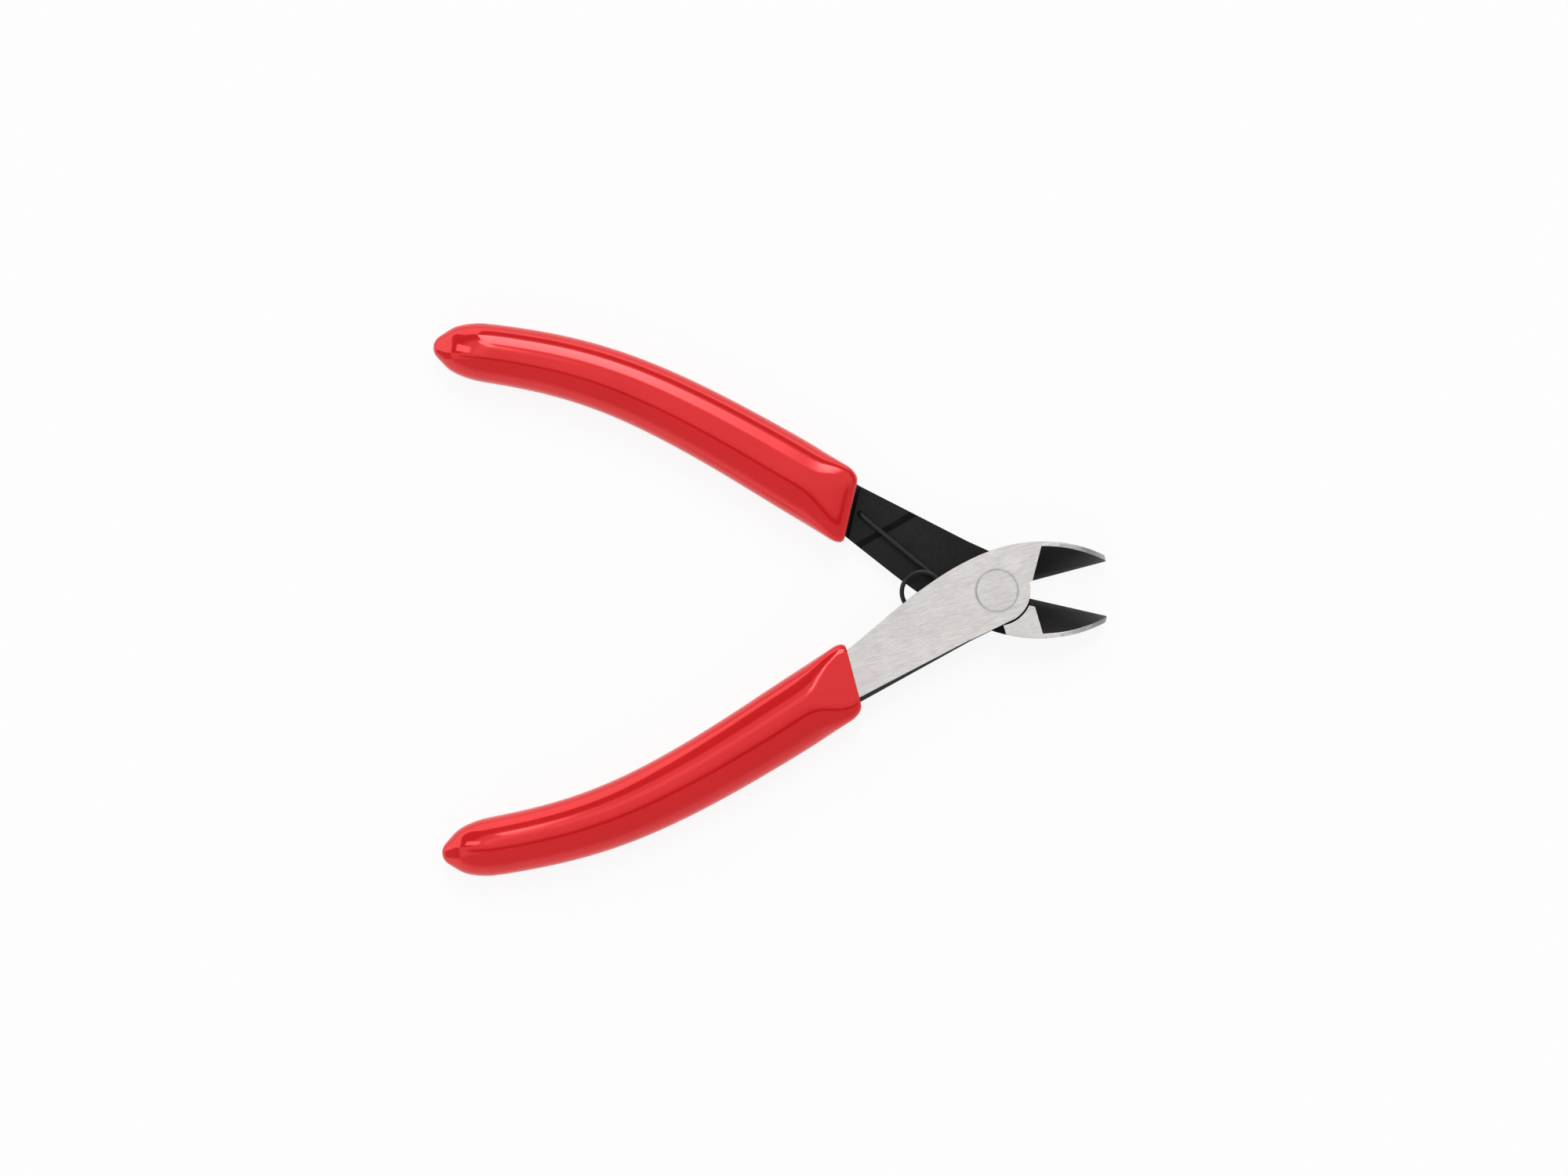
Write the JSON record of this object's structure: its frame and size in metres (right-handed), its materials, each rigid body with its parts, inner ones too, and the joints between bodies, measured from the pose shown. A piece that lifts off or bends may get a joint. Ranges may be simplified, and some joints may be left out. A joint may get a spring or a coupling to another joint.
{
  "type": "side cutters",
  "caption": "Lightweight flush-cutting side cutters standing open: two lapped steel levers on a rivet, a wire torsion spring between the shanks and red dipped grips.",
  "frame": {"origin": "on the pivot axis, on the rear ground face of the head", "axes": "+X towards the jaw tips along the line that halves the opening, +Y towards the handle of the rear lever, +Z along the pivot axis towards the side with the bevelled jaws"},
  "size_m": [0.1213, 0.1002, 0.009],
  "materials": {
    "ground_steel": "belt-ground bright steel, fine parallel scratches",
    "black_steel": "black oxide, dull satin; the front face of its jaw is ground bright",
    "rivet_steel": "heads ground flush with the levers",
    "spring_wire": "blackened spring wire, satin",
    "dipped_vinyl": "glossy red dipped vinyl"
  },
  "bodies": {
    "rear_half": {"rear_lever": "black_steel", "rear_lever_grip": "dipped_vinyl", "rivet": "rivet_steel", "return_spring": "spring_wire"},
    "front_half": {"front_lever": "ground_steel", "front_lever_grip": "dipped_vinyl"}
  },
  "joints": [
    {"name": "pivot", "type": "hinge", "parent": "rear_half", "child": "front_half", "pos_m": [0, 0, 0.0032], "axis": [0, 0, -1], "range_deg": [0, 27.6], "stiffness_Nm_per_rad": 0.3, "springref_deg": -11.46, "deforming": ["return_spring"]}
  ]
}
